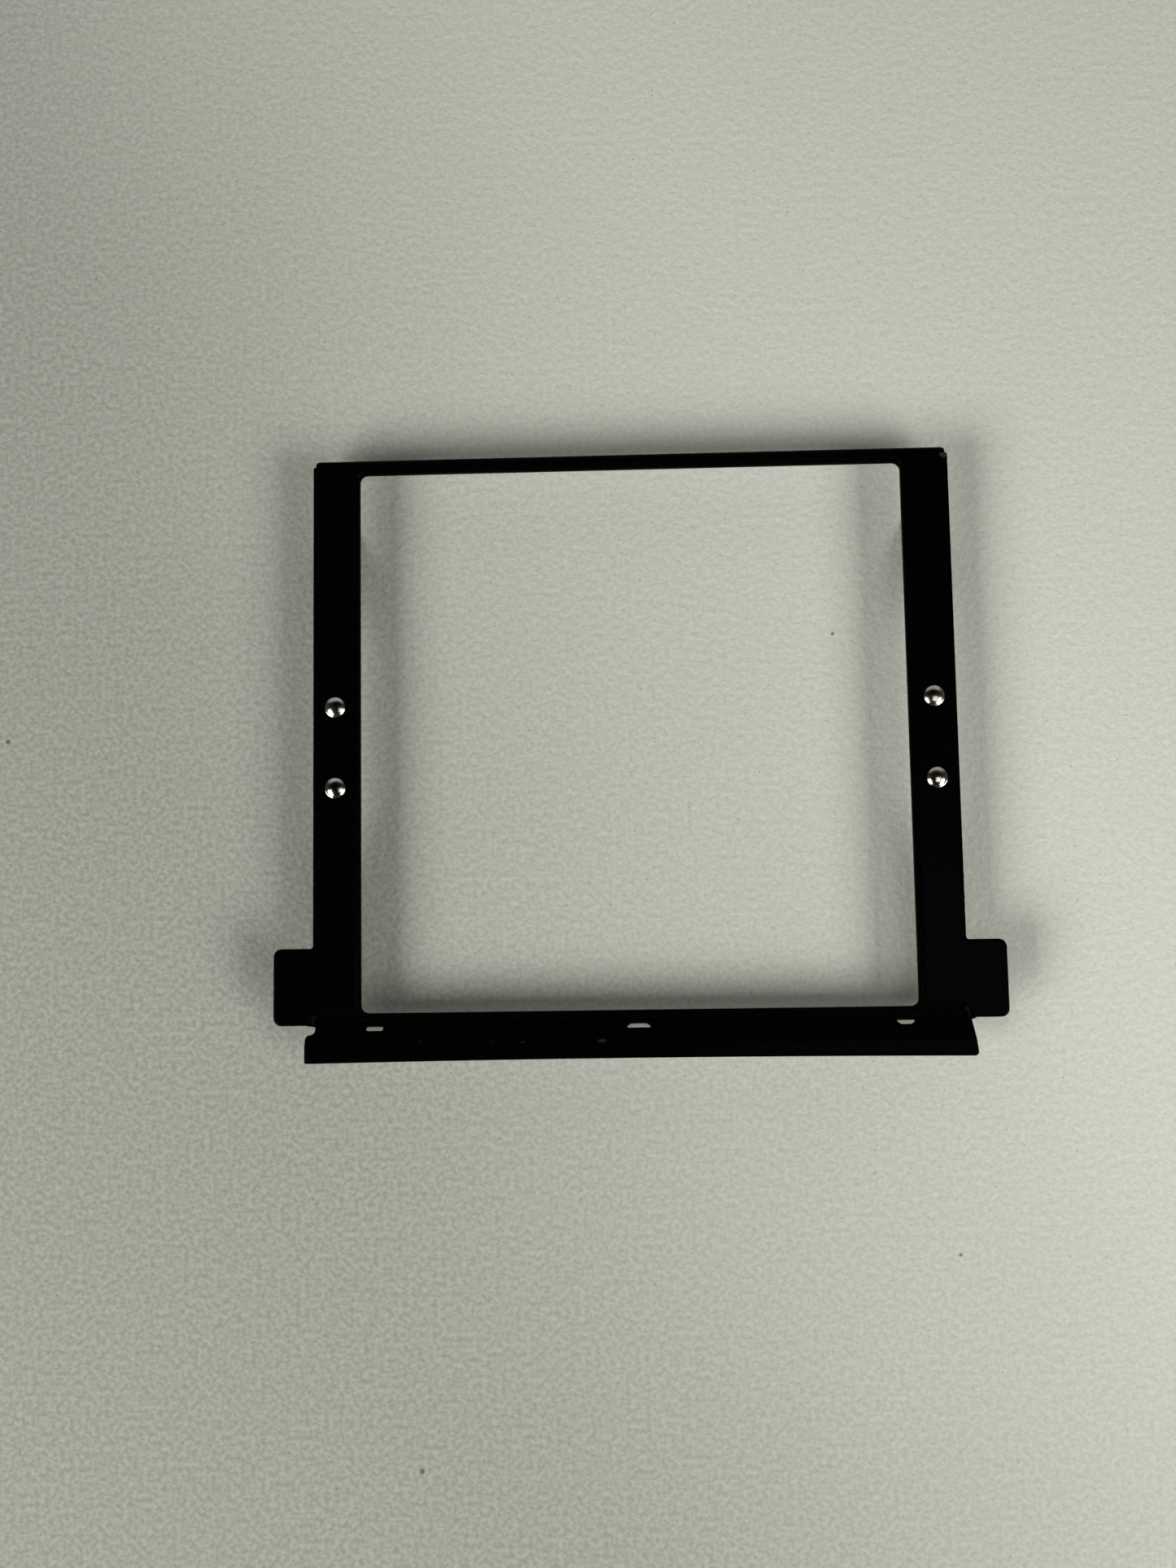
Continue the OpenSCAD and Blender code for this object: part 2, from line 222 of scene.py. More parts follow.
def sheet_points(flat, lift):
    """Points at flat positions (x, v), lifted off the middle surface along its normal."""
    x, v = np.asarray(flat, float).T
    y = np.where(v > 0, np.interp(v, BACK[0], BACK[1]), v)
    z = np.where(v > 0, np.interp(v, BACK[0], BACK[2]) + MIDDLE_Z, height_field(x, v))
    return np.stack([x, y, z], axis=1) + np.asarray(lift)[..., None] * normals(x, v)


def flat_below(plan, lift):
    """Flat positions whose lifted points stand at these plan positions (x, y)."""
    plan = np.asarray(plan, float)
    flat = plan.copy()
    for _ in range(12):
        flat = plan - lift * normals(flat[:, 0], flat[:, 1])[:, :2]
    return flat


def fine_rows():
    """Values of v for the rows of the mesh, close together where the sheet bends."""
    v = np.concatenate([-FRONT[1][::-1], BACK[0][1:]])
    slope = np.concatenate([FRONT[3][::-1], -BACK[3][1:]])
    bent = np.abs(np.gradient(slope, v)) > LEAST_BEND
    rows = [v[0]]
    for value, is_bent in zip(v, bent):
        if value - rows[-1] >= (BEND_STEP if is_bent else FLAT_STEP):
            rows.append(value)
    return np.array(rows)


ROWS = fine_rows()


# ------------------------------------------------------------ outlines

def side_points(a, b):
    """Points between a and b, evenly spaced and wherever the side crosses a row."""
    length = np.linalg.norm(b - a)
    parts = max(1, math.ceil(length / EDGE_STEP))
    places = [k / parts for k in range(1, parts)]
    is_steep = abs(b[1] - a[1]) > length / 2
    if is_steep:
        places += [t for t in (ROWS - a[1]) / (b[1] - a[1]) if 0 < t < 1]
    kept = [0.0]
    for t in sorted(places):
        if (t - kept[-1]) * length > LEAST_STEP and (1 - t) * length > LEAST_STEP:
            kept.append(t)
    return [a + (b - a) * t for t in kept[1:]]


def corner_arc(before, here, after, radius):
    """Points of the arc that rounds a corner."""
    to_before, to_after = before - here, after - here
    to_before = to_before / np.linalg.norm(to_before)
    to_after = to_after / np.linalg.norm(to_after)
    half = math.acos(np.clip(to_before @ to_after, -1, 1)) / 2
    if radius == 0 or half > math.radians(FLAT_CORNER):
        return [here]
    middle = (to_before + to_after) / np.linalg.norm(to_before + to_after)
    centre = here + middle * radius / math.sin(half)
    start = here + to_before * radius / math.tan(half) - centre
    turn = math.pi - 2 * half
    side = np.sign(to_before[1] * to_after[0] - to_before[0] * to_after[1])
    parts = max(3, round(math.degrees(turn) / ARC_TURN))
    angles = [side * turn * k / parts for k in range(parts + 1)]
    return [centre + np.array([start[0] * math.cos(a) - start[1] * math.sin(a),
                               start[0] * math.sin(a) + start[1] * math.cos(a)]) for a in angles]


def rounded_loop(corners):
    """Closed anticlockwise outline through corners (x, v, radius)."""
    at = [np.array(c[:2], float) for c in corners]
    arcs = [corner_arc(at[i - 1], at[i], at[(i + 1) % len(at)], corners[i][2])
            for i in range(len(at))]
    loop = []
    for i, arc in enumerate(arcs):
        loop += arc + side_points(arc[-1], arcs[(i + 1) % len(arcs)][0])
    return np.array(loop)


def v_at(y):
    """v of the place where the top surface has this y, in the middle of the plate."""
    return float(flat_below([[0.0, y]], HALF_SHEET)[0, 1])


def plate_outline():
    """Outer edge of the sheet: from the flange down the right side, along the lip, and back up."""
    flange = float(BACK[0][-1])
    rail_rear = REAR_BEND - FLANGE_RELIEF
    bow = [(u * (LIP_X - LIP_BOW_END), LIP_FRONT + LIP_BOW * (1 - u * u), 0)
           for u in np.linspace(1, -1, ACROSS_COUNT)]
    shoulder = v_at(SHOULDER)
    notch_r = NOTCH_ROUND * (TAB_FRONT - shoulder)
    right_rear = [(FLANGE_X, flange, FLANGE_R), (FLANGE_X, REAR_BEND, 0), (RAIL_X, rail_rear, RAIL_REAR_R),
                  (RAIL_X, TAB_REAR, RAIL_TAB_R), (TAB_X, TAB_REAR, TAB_R), (TAB_X, TAB_FRONT, TAB_R)]
    right_neck = [(NECK_RIGHT, TAB_FRONT, NECK_R),
                  (NECK_RIGHT + NECK_SLANT[0], SHOULDER + NECK_SLANT[1], 0)]
    lip = [(LIP_X, LIP_FRONT, LIP_RIGHT_R), *bow, (-LIP_X, LIP_FRONT, LIP_LEFT_R)]
    left_neck = [(-LIP_X, shoulder, SHOULDER_R), (NECK_LEFT, shoulder, notch_r),
                 (NECK_LEFT, TAB_FRONT, notch_r)]
    left_rear = [(-x, v, r) for x, v, r in reversed(right_rear)]
    clockwise = [*right_rear, *right_neck, *lip, *left_neck, *left_rear]
    return rounded_loop(clockwise[::-1])


def slot_outlines():
    """The three slots in the groove, from left to right."""
    v = v_at(SLOT_Y)
    side, middle, half = SIDE_SLOT / 2, MIDDLE_SLOT / 2, SLOT_W / 2
    narrow, front = middle * TAPERED_SHARE, side * ROUND_FRONT_SHARE
    rounded = [(sx * side, sy * half, ROUNDED_R) for sx, sy in SQUARE]
    tapered = [(-middle, -half, TAPERED_R), (middle, -half, TAPERED_R), (middle, 0, TAPERED_END_R),
               (narrow, half, TAPERED_R), (-narrow, half, TAPERED_R), (-middle, 0, TAPERED_END_R)]
    round_front = [(-side, 0, ROUND_END_R), (-front, -half, ROUND_FRONT_R),
                   (front, -half, ROUND_FRONT_R), (side, 0, ROUND_END_R),
                   (side, half, STRAIGHT_REAR_R), (-side, half, STRAIGHT_REAR_R)]
    shapes = ((-SLOT_X, rounded), (0, tapered), (SLOT_X, round_front))
    return [rounded_loop([(x + dx, v + dv, r) for dx, dv, r in shape]) for x, shape in shapes]


# ------------------------------------------------------------ the collar

def rim_line():
    """Points of the gate's clear edge, anticlockwise, and their normals away from the gate."""
    corners = [(sx * GATE_HALF_W, sy * GATE_HALF_L, GATE_R)
               for sx, sy in ((1, -1), (1, 1), (-1, 1), (-1, -1))]
    line = rounded_loop(corners)
    core = np.clip(line, [-GATE_HALF_W + GATE_R, -GATE_HALF_L + GATE_R],
                   [GATE_HALF_W - GATE_R, GATE_HALF_L - GATE_R])
    away = line - core
    return line, away / np.linalg.norm(away, axis=1, keepdims=True)


def bend_off(line, away, radius, offset, lift):
    """Where a bend of that radius, next to a wall at that offset, meets the sheet's surface."""
    reach = offset + radius
    for _ in range(6):
        flat = flat_below(line + away * reach[:, None], lift)
        up = normals(flat[:, 0], flat[:, 1])
        lean = np.sum(up[:, :2] * away, axis=1)
        angle = np.arctan2(lean, up[:, 2])
        reach = offset + radius * (1 + np.sin(angle))
    height = sheet_points(flat, np.full(len(flat), lift))[:, 2] - radius * np.cos(angle)
    return flat, angle, height


def ring_at(line, away, out, height):
    """The gate's edge line, moved outwards and to a height."""
    return np.column_stack([line + away * out[:, None], height])


def arc_rings(line, away, radius, offset, angle, height, parts):
    """Rings of a bend, from the sheet's surface round to the wall."""
    rings = []
    for k in range(1, parts + 1):
        a = angle + (-math.pi / 2 - angle) * k / parts
        out = offset + radius + radius * np.sin(a)
        rings.append(ring_at(line, away, out, height + radius * np.cos(a)))
    return rings


def collar():
    """Flat loops where the collar leaves the top and the underside, and its rings between."""
    line, away = rim_line()
    at_ramp = smooth((-line[:, 1] - RAMP_RIM_START) / RAMP_RIM_REACH)
    top_r = BEND_R + (RAMP_BEND_R - BEND_R) * at_ramp
    under_r = UNDER_BEND_R + (RAMP_UNDER_R - UNDER_BEND_R) * at_ramp
    wall = SHEET + (RAMP_RIM_T - SHEET) * at_ramp
    inner = np.zeros_like(wall)
    top_flat, top_angle, top_height = bend_off(line, away, top_r, inner, HALF_SHEET)
    low_flat, low_angle, low_height = bend_off(line, away, under_r, wall, -HALF_SHEET)
    # The rim stays below the bend under the sheet, and its two rounded edges fit in the wall.
    rim_z = np.minimum(RIM_Z, low_height - LEAST_GAP)
    round_r = np.minimum(RIM_ROUND, 0.45 * wall)
    rings = arc_rings(line, away, top_r, inner, top_angle, top_height, BEND_COUNT)
    for edge, sign, degrees in ((inner, 1, (0, 30, 60, 90)), (wall, -1, (90, 60, 30, 0))):
        for a in np.radians(degrees):
            out = edge + sign * round_r * (1 - math.cos(a))
            rings.append(ring_at(line, away, out, rim_z + round_r * (1 - math.sin(a))))
    rings += arc_rings(line, away, under_r, wall, low_angle, low_height, UNDER_COUNT)[::-1]
    return top_flat, low_flat, rings


# ------------------------------------------------------------ flat meshing

def distance(points, loop):
    """Distance from each point to a closed outline, whose sides are short."""
    tree = KDTree(len(loop))
    for k, (x, y) in enumerate(loop):
        tree.insert((x, y, 0), k)
    tree.balance()
    near = np.array([tree.find((x, y, 0))[1] for x, y in points], int)
    best = np.full(len(points), np.inf)
    for shift in (-1, 0):
        a, b = loop[(near + shift) % len(loop)], loop[(near + shift + 1) % len(loop)]
        side = b - a
        t = np.sum((points - a) * side, axis=1) / np.sum(side * side, axis=1)
        gap = points - a - np.clip(t, 0, 1)[:, None] * side
        best = np.minimum(best, np.linalg.norm(gap, axis=1))
    return best


def inside(points, loop):
    """Whether each point lies in a closed outline."""
    a, b = loop, np.roll(loop, -1, axis=0)
    hits = np.zeros(len(points), bool)
    for (ax, ay), (bx, by) in zip(a, b):
        crosses = (ay > points[:, 1]) != (by > points[:, 1])
        if crosses.any():
            x = ax + (points[:, 1] - ay) * (bx - ax) / (by - ay + 1e-30)
            hits ^= crosses & (points[:, 0] < x)
    return hits


def roll_depth(gap, roll):
    """How far a rolled edge has dropped, at a distance from the edge."""
    width, depth = roll
    t = np.clip(gap / width, 0, 1)
    return depth * (1 - np.sqrt(np.maximum(0, 1 - (1 - t) ** 2)))


def offsets(loop, sign, gaps):
    """Points at set distances to one side of an outline, without those that come too close."""
    along = np.roll(loop, -1, axis=0) - np.roll(loop, 1, axis=0)
    left = np.stack([-along[:, 1], along[:, 0]], axis=1)
    left /= np.linalg.norm(left, axis=1, keepdims=True)
    kept = []
    for gap in gaps:
        ring = loop + sign * left * gap
        ring = ring[distance(ring, loop) > 0.97 * gap]
        _, first = np.unique(np.round(ring, 2), axis=0, return_index=True)
        kept.append(ring[np.sort(first)])
    return np.concatenate(kept)


def roll_gaps(roll):
    """Distances from an edge for the rings of its roll, and a ring on the flat beyond."""
    width = roll[0]
    steps = 6 if width > 0.1 else 3
    arc = [width * (1 - math.cos(math.pi / 2 * k / steps)) for k in range(1, steps + 1)]
    return [*arc, width + RING_BEYOND]


def plate_grid():
    """Points of the plate's inside, in rows, with close columns where the ramp dies out."""
    fine_x = np.arange(WALL_X - WALL_W - WALL_STEP, WALL_X + 2 * WALL_STEP, WALL_STEP)
    coarse_x = np.arange(FLAT_STEP / 2, TAB_X, FLAT_STEP)
    points = []
    for v in ROWS:
        is_beside_wall = WALL_ROWS[0] < v < WALL_ROWS[1]
        xs = np.concatenate([coarse_x, fine_x]) if is_beside_wall else coarse_x
        points += [(s * x, v) for x in xs for s in (-1, 1)]
    return np.array(points)


def clear_of(points, rims, margins):
    """Whether each point lies inside the first outline, outside the others, and off them all."""
    good = np.ones(len(points), bool)
    for k, (rim, margin) in enumerate(zip(rims, margins)):
        good &= inside(points, rim) == (k == 0)
        good[good] = distance(points[good], rim) > margin
    return good


def face_mesh(rims, rolls, grid):
    """Flat points and triangles of one face: the first rim is its outline, the rest are holes."""
    rings = [offsets(rim, 1 if k == 0 else -1, roll_gaps(roll))
             for k, (rim, roll) in enumerate(zip(rims, rolls))]
    rings = np.concatenate(rings)
    rings = rings[clear_of(rings, rims, [LEAST_GAP] * len(rims))]
    grid = grid[clear_of(grid, rims, [roll[0] + GRID_BEYOND for roll in rolls])]
    points = np.concatenate([*rims, rings, grid])
    edges, first = [], 0
    for rim in rims:
        n = len(rim)
        edges += [(first + k, first + (k + 1) % n) for k in range(n)]
        first += n
    out = delaunay_2d_cdt([Vector(p) for p in points], edges, [], 0, 1e-7)
    if len(out[0]) != len(points):
        raise RuntimeError(f"an outline meets itself: {len(points)} points, {len(out[0])} out")
    order = np.array([origin[0] for origin in out[3]])
    triangles = order[np.array([list(f) for f in out[2]])]
    centre = points[triangles].mean(axis=1)
    return points, triangles[clear_of(centre, rims, [0] * len(rims))]


def depth_at(points, rims, rolls):
    """How far rolled edges have dropped at each point."""
    depth = np.zeros(len(points))
    for rim, roll in zip(rims, rolls):
        depth = np.maximum(depth, roll_depth(distance(points, rim), roll))
    return depth


def quads(first, second, count):
    """Quads between two closed rings of the same count."""
    k = np.arange(count)
    after = (k + 1) % count
    return np.stack([first + k, first + after, second + after, second + k], axis=1)


def walls(rims, shift):
    """Quads between each rim of the top face and the same rim of the underside."""
    faces, first = [], 0
    for rim in rims:
        wall = quads(first + shift, first, len(rim))
        faces.append(wall if first == 0 else wall[:, ::-1])
        first += len(rim)
    return faces


def circle(x, y, radius, parts=40):
    """Closed anticlockwise circle."""
    turn = np.linspace(0, 2 * math.pi, parts, endpoint=False)
    return np.column_stack([x + radius * np.cos(turn), y + radius * np.sin(turn)])


def edge_wear(flat, rim, wear):
    """How rubbed points are by being close to an edge."""
    amount, reach = wear
    return amount * np.exp(-distance(flat, rim) / reach)


def top_wear(flat, outline, slots):
    """How rubbed the top face is: along its edges, on part of the lip's crest, and in a few spots."""
    x, v = flat.T
    worn = edge_wear(flat, outline, EDGE_WEAR)
    for slot in slots:
        worn += edge_wear(flat, slot, SLOT_WEAR)
    left, right = CREST_ENDS
    along = smooth((x - left) / CREST_FADE) * smooth((right - x) / CREST_FADE)
    worn += along * np.exp(-((v - CREST_V) / CREST_W) ** 2)
    for spot_x, spot_v, radius in BARE_SPOTS:
        worn += SPOT_WEAR * np.exp(-((x - spot_x) ** 2 + (v - spot_v) ** 2) / radius ** 2)
    return worn


def plate_mesh():
    """Points in gate coordinates and faces of the whole plate, and how worn each point is."""
    outline, slots = plate_outline(), slot_outlines()
    holes = [circle(x, y, SHANK_R) for x, y in RIVETS.values()]
    rims = [outline, *slots, *holes]
    hole_rolls = [HOLE_ROLL] * len(holes)
    rolls = [EDGE_ROLL] + [SLOT_ROLL] * len(slots) + hole_rolls
    low_rolls = [UNDER_ROLL] * (1 + len(slots)) + hole_rolls
    top_gate, low_gate, rings = collar()
    grid = plate_grid()
    top, top_faces = face_mesh([*rims, top_gate], [*rolls, GUARD], grid)
    low, low_faces = face_mesh([*rims, low_gate], [*low_rolls, GUARD], grid)
    top_points = sheet_points(top, HALF_SHEET - depth_at(top, rims, rolls))
    low_points = sheet_points(low, depth_at(low, rims, low_rolls) - HALF_SHEET)
    faces = [top_faces, low_faces[:, ::-1] + len(top), *walls(rims, len(top))]
    join, n = sum(len(rim) for rim in rims), len(top_gate)
    start = len(top) + len(low)
    chain = [join] + [start + k * n for k in range(len(rings))] + [len(top) + join]
    faces += [quads(a, b, n) for a, b in zip(chain[:-1], chain[1:])]
    worn = np.concatenate([top_wear(top, outline, slots), edge_wear(low, outline, UNDER_WEAR),
                           np.zeros(n * len(rings))])
    return np.concatenate([top_points, low_points, *rings]), faces, worn


# ------------------------------------------------------------ rivets and springs

def lathe(profile, parts=64):
    """Points and faces of a body turned from a closed profile of (radius, z), from top to bottom."""
    turn = np.linspace(0, 2 * math.pi, parts, endpoint=False)
    rows = [np.column_stack([r * np.cos(turn), r * np.sin(turn), np.full(parts, z)])
            for r, z in profile[1:-1]]
    points = np.concatenate([[[0, 0, profile[0][1]]], *rows, [[0, 0, profile[-1][1]]]])
    faces = [quads(1 + (k + 1) * parts, 1 + k * parts, parts) for k in range(len(rows) - 1)]
    k = np.arange(parts)
    last = 1 + (len(rows) - 1) * parts
    faces.append(np.stack([np.zeros(parts, int), 1 + k, 1 + (k + 1) % parts], axis=1))
    faces.append(np.stack([np.full(parts, len(points) - 1), last + (k + 1) % parts, last + k], axis=1))
    return points, faces


def round_edge(radius, height, size, degrees):
    """Profile points of an edge of that outer radius, rounded about a height, at these angles."""
    return [(radius - size + size * math.cos(a), height + size * math.sin(a)) for a in np.radians(degrees)]


def rivet_profile():
    """Profile of a set rivet: domed head, shank, and a tail with a round edge and a dimple."""
    ball = (HEAD_R ** 2 + HEAD_H ** 2) / (2 * HEAD_H)
    reach = math.asin(HEAD_R / ball)
    dome = [(ball * math.sin(a), TOP_Z + HEAD_H - ball + ball * math.cos(a))
            for a in np.linspace(0, reach, DOME_COUNT, endpoint=False)]
    under = TOP_Z - SHEET - SPRING_T
    end = under - TAIL_H
    chamfer = HOLE_ROLL[0]
    rim = [(HEAD_R - inset, TOP_Z + height) for inset, height in HEAD_RIM]
    shank = [(SHANK_R + chamfer, TOP_Z), (SHANK_R, TOP_Z - chamfer), (SHANK_R, under + chamfer),
             (SHANK_R + chamfer, under)]
    edge = round_edge(TAIL_R, under - TAIL_ROUND, TAIL_ROUND, (90, 60, 30, 0))
    edge += round_edge(TAIL_R, end + TAIL_ROUND, TAIL_ROUND, (0, -30, -60, -90))
    dimple = [(TAIL_R * share, end + height) for share, height in DIMPLE]
    return dome + rim + shank + edge + dimple


def spring_line():
    """A spring half's distance along, reach and height, from the seat's middle to its tip."""
    bend = math.radians(ARM_ANGLE)
    bend_r = 2 * BEND_REACH / bend
    drop = SEAT_Z - SPRING_T / 2
    run = (drop - (bend_r + TIP_R) * (1 - math.cos(bend))) / math.sin(bend)
    steps = [[PIVOT_REACH - BEND_REACH, -ARM_ANGLE, bend_r], [run, ARM_ANGLE + TIP_ANGLE, TIP_R]]
    return trace(steps)


def spring_mesh():
    """Points and faces of half a leaf spring, lying along +y from the seat's middle."""
    line = spring_line()
    length, half = float(line[0][-1]), SPRING_W / 2
    seat_end = [(x, 0.0) for x in np.linspace(-half, half, ACROSS_COUNT)]
    tip = [(half * math.cos(a), length - half + half * math.sin(a))
           for a in np.linspace(0, math.pi, TIP_COUNT)]
    side = np.arange(0, length - half, EDGE_STEP)
    outline = np.array(seat_end + [(half, s) for s in side[1:]] + tip
                       + [(-half, s) for s in side[:0:-1]])
    # The two halves meet at the seat's middle, so the edge's roll is left out there.
    open_end = outline.copy()
    open_end[:len(seat_end), 1] = -2.0
    hole = circle(0, RIVET_REACH, SHANK_R)
    rims, rolls = [outline, hole], [SPRING_ROLL, HOLE_ROLL]
    grid = np.array([(x, s) for s in np.arange(EDGE_STEP, length, EDGE_STEP) for x in SPRING_COLUMNS])
    flat, tri = face_mesh(rims, rolls, grid)
    depth = depth_at(flat, [open_end, hole], rolls)
    blocks = []
    for sign in (1, -1):
        lift = sign * (SPRING_T / 2 - depth)
        y, z, tilt = [np.interp(flat[:, 1], line[0], line[k]) for k in (1, 2, 3)]
        blocks.append(np.column_stack([flat[:, 0], y - lift * np.sin(tilt),
                                       SEAT_Z + z + lift * np.cos(tilt)]))
    return np.concatenate(blocks), [tri, tri[:, ::-1] + len(flat), *walls(rims, len(flat))]


# ------------------------------------------------------------ objects

def add_mesh(name, points, faces, attributes=None):
    """A smooth-shaded mesh object, from points in millimetres, with its repeated points joined."""
    rounded = np.round(np.asarray(points) * 1e5).astype(np.int64)
    _, first, back = np.unique(rounded, axis=0, return_index=True, return_inverse=True)
    back = back.reshape(-1)
    polygons = []
    for block in faces:
        for face in back[block]:
            corners = [int(i) for k, i in enumerate(face) if i != face[k - 1]]
            if len(corners) > 2:
                polygons.append(corners)
    mesh = bpy.data.meshes.new(name)
    mesh.from_pydata(np.asarray(points)[first] * MM, [], polygons)
    for key, values in (attributes or {}).items():
        layer = mesh.attributes.new(key, "FLOAT", "POINT")
        layer.data.foreach_set("value", np.asarray(values, np.float32)[first])
    mesh.shade_smooth()
    mesh.update()
    obj = bpy.data.objects.new(name, mesh)
    bpy.context.scene.collection.objects.link(obj)
    return obj


def finish_piece(obj, material, slot, *nodes):
    """Gives a piece its material, and shows it in place of the CAD nodes that it stands for."""
    obj.data.materials.append(material)
    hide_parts(*nodes)


def add_plate(material):
    """The pressed and painted plate."""
    points, faces, worn = plate_mesh()
    points[:, 1] += GATE_Y
    obj = add_mesh("pressed_plate", points, faces, {"worn": worn})
    finish_piece(obj, material, "black_paint", "frame_plate")
    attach(obj, "frame")


def add_rivets(material):
    """The four rivets, set in the rails."""
    points, faces = lathe(rivet_profile())
    for place, (x, y) in RIVETS.items():
        obj = add_mesh(f"{place}_rivet_set", points + [x, y + GATE_Y, 0], faces)
        finish_piece(obj, material, "rivet_nickel", f"{place}_rivet")
        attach(obj, "frame")


def add_springs(material):
    """The two leaf springs, each as a front and a rear half, bent down between seat and arm."""
    points, faces = spring_mesh()
    for side in SIDES:
        for end, sy in ENDS.items():
            joint = joints[f"{side}_{end}_flex"]
            seat_y = joint[1] / MM - sy * PIVOT_REACH
            placed = points * [1, sy, 1] + [joint[0] / MM, seat_y, 0]
            turned = [block[:, ::-1] for block in faces] if sy < 0 else faces
            obj = add_mesh(f"{side}_{end}_spring_leaf", placed, turned)
            finish_piece(obj, material, "spring_steel", f"{side}_spring_seat", f"{side}_{end}_spring_arm")
            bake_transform(obj)


# ------------------------------------------------------------ materials

def node(tree, kind, inputs=None, **settings):
    """A shader node with its settings, and with inputs as values or links."""
    made = tree.nodes.new(kind)
    for key, value in settings.items():
        setattr(made, key, value)
    for key, value in (inputs or {}).items():
        if isinstance(value, bpy.types.NodeSocket):
            tree.links.new(value, made.inputs[key])
        else:
            made.inputs[key].default_value = value
    return made


def object_coords(tree):
    """Places in the piece's own frame, in metres."""
    return node(tree, "ShaderNodeTexCoord").outputs["Object"]


def noise(tree, size_mm, detail=3, rough=0.5, stretch=(1, 1, 1), seed=0.0):
    """Noise whose features have that size, from 0 to 1."""
    placed = node(tree, "ShaderNodeMapping", {"Vector": object_coords(tree), "Scale": stretch,
                                              "Location": (seed, seed, seed)})
    return node(tree, "ShaderNodeTexNoise", {"Vector": placed.outputs[0], "Detail": detail,
                                             "Roughness": rough, "Scale": 1 / (size_mm * MM)}).outputs[0]


def spread(tree, value, low, high, out_low=0.0, out_high=1.0):
    """A value taken smoothly from one range to another."""
    return node(tree, "ShaderNodeMapRange", {"Value": value, "From Min": low, "From Max": high,
                                             "To Min": out_low, "To Max": out_high},
                interpolation_type="SMOOTHSTEP").outputs[0]


def total(tree, a, b):
    """Sum of two values."""
    return node(tree, "ShaderNodeMath", {0: a, 1: b}, operation="ADD").outputs[0]


def product(tree, a, b):
    """Product of two values."""
    return node(tree, "ShaderNodeMath", {0: a, 1: b}, operation="MULTIPLY").outputs[0]


def mixed(tree, share, a, b):
    """Colours mixed by a share from 0 to 1."""
    made = node(tree, "ShaderNodeMix", data_type="RGBA")
    for key, value in (("Factor", share), ("A", a), ("B", b)):
        socket = [i for i in made.inputs if i.name == key and i.enabled][0]
        if isinstance(value, bpy.types.NodeSocket):
            tree.links.new(value, socket)
        else:
            socket.default_value = value if key == "Factor" else (*value, 1)
    return [o for o in made.outputs if o.enabled][0]


def bump(tree, height, depth_mm):
    """Normals of a fine relief of that depth."""
    return node(tree, "ShaderNodeBump", {"Height": height, "Distance": depth_mm * MM,
                                         "Strength": 1.0}).outputs[0]


def new_material(name):
    """An empty material's node tree and its main shader."""
    material = bpy.data.materials.new(name)
    material.use_nodes = True
    return material, material.node_tree, material.node_tree.nodes["Principled BSDF"]


def set_shader(tree, shader, **inputs):
    """Sets the main shader's inputs; underscores in a name stand for spaces."""
    for key, value in inputs.items():
        socket = shader.inputs[key.replace("_", " ")]
        if isinstance(value, bpy.types.NodeSocket):
            tree.links.new(value, socket)
        else:
            socket.default_value = value


def black_paint():
    """Satin black paint with a fine mottle, rubbed thin in patches where the piece is worn."""
    black, dusty, steel = (0.0003, 0.0003, 0.0003), (0.0011, 0.0011, 0.0009), (0.30, 0.28, 0.25)
    material, tree, shader = new_material("black_paint_worn")
    worn = node(tree, "ShaderNodeAttribute", attribute_name="worn").outputs["Fac"]
    patches, specks = noise(tree, 3.0, seed=2.0), noise(tree, 0.16, 4, 0.6, seed=5.0)
    rub = product(tree, worn, spread(tree, patches, 0.42, 0.72, 0.3, 1.0))
    bare = spread(tree, total(tree, rub, product(tree, specks, 0.6)), 0.86, 1.1, 0, 0.08)
    mottle, cloud = noise(tree, 0.22, 3, 0.55, seed=1.0), noise(tree, 9.0, 2, seed=3.0)
    paint = mixed(tree, spread(tree, mottle, 0.35, 0.7), black, dusty)
    gloss = total(tree, spread(tree, cloud, 0.3, 0.7, 0.20, 0.28), product(tree, mottle, 0.08))
    set_shader(tree, shader, Base_Color=mixed(tree, bare, paint, steel), Metallic=bare,
               Roughness=gloss, Specular_IOR_Level=0.009, Normal=bump(tree, mottle, 0.002))
    return material


def rivet_nickel():
    """Polished nickel with faint scratches and a slight tarnish."""
    clean, tarnished = (0.60, 0.57, 0.49), (0.42, 0.38, 0.30)
    material, tree, shader = new_material("rivet_nickel_polished")
    tarnish, scratches = noise(tree, 0.7, seed=4.0), noise(tree, 0.05, 2, stretch=(1, 6, 1), seed=6.0)
    set_shader(tree, shader, Base_Color=mixed(tree, spread(tree, tarnish, 0.35, 0.75), clean, tarnished),
               Metallic=1.0, Roughness=spread(tree, tarnish, 0.3, 0.7, 0.10, 0.20),
               Normal=bump(tree, scratches, 0.0015))
    return material


def spring_steel():
    """Blued spring steel, rolled along its length, with a satin surface and rubbed spots."""
    deep, pale, bright = (0.085, 0.095, 0.125), (0.15, 0.15, 0.165), (0.34, 0.33, 0.31)
    material, tree, shader = new_material("spring_steel_blued")
    grain = noise(tree, 0.12, stretch=(1, 0.05, 1), seed=7.0)
    cloud, rubbed = noise(tree, 4.0, seed=8.0), noise(tree, 1.2, 4, 0.6, seed=9.0)
    blue = mixed(tree, spread(tree, cloud, 0.3, 0.7), deep, pale)
    gloss = total(tree, spread(tree, cloud, 0.3, 0.7, 0.26, 0.34), product(tree, grain, 0.1))
    set_shader(tree, shader, Base_Color=mixed(tree, spread(tree, rubbed, 0.56, 0.7), blue, bright),
               Metallic=1.0, Roughness=gloss, Normal=bump(tree, grain, 0.003))
    return material


